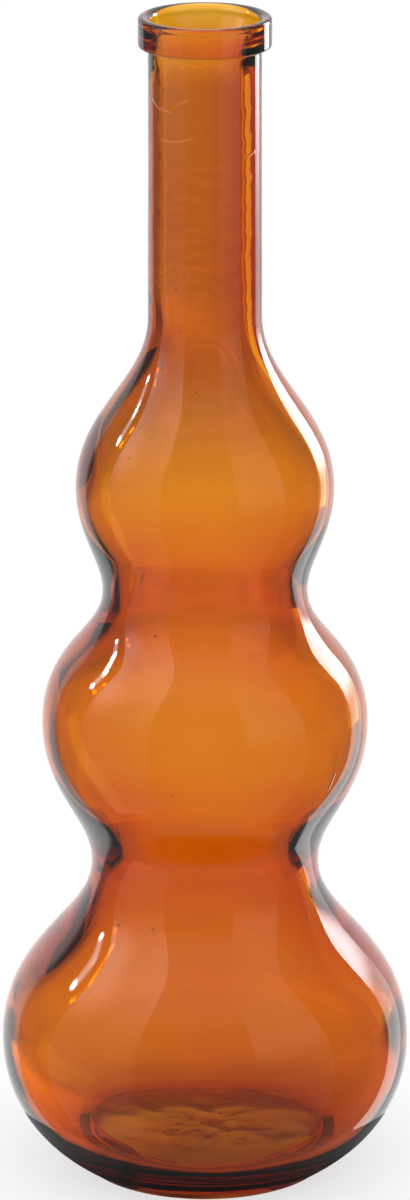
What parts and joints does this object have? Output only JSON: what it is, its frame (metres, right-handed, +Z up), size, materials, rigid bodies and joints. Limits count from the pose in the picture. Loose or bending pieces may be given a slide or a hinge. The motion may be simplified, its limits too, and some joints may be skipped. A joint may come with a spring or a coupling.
{
  "type": "gourd vase",
  "caption": "Tall amber glass gourd vase: stacked bulbs of falling size, waisted between, under a long straight neck with a collared mouth, for stems or display.",
  "frame": {"origin": "on the vase's axis at the plane of its bearing ring, where it stands on the table", "axes": "+Z up along the vase's axis towards the mouth; +X and +Y are any two level directions, as the vase is a body of revolution"},
  "size_m": [0.1438, 0.1438, 0.4156],
  "materials": {
    "amber_glass": "clear, glossy, slightly uneven blown glass"
  },
  "bodies": {
    "root": {"lip_collar": "amber_glass", "neck": "amber_glass", "upper_bulb": "amber_glass", "middle_bulb": "amber_glass", "lower_bulb": "amber_glass", "base": "amber_glass"}
  },
  "joints": []
}
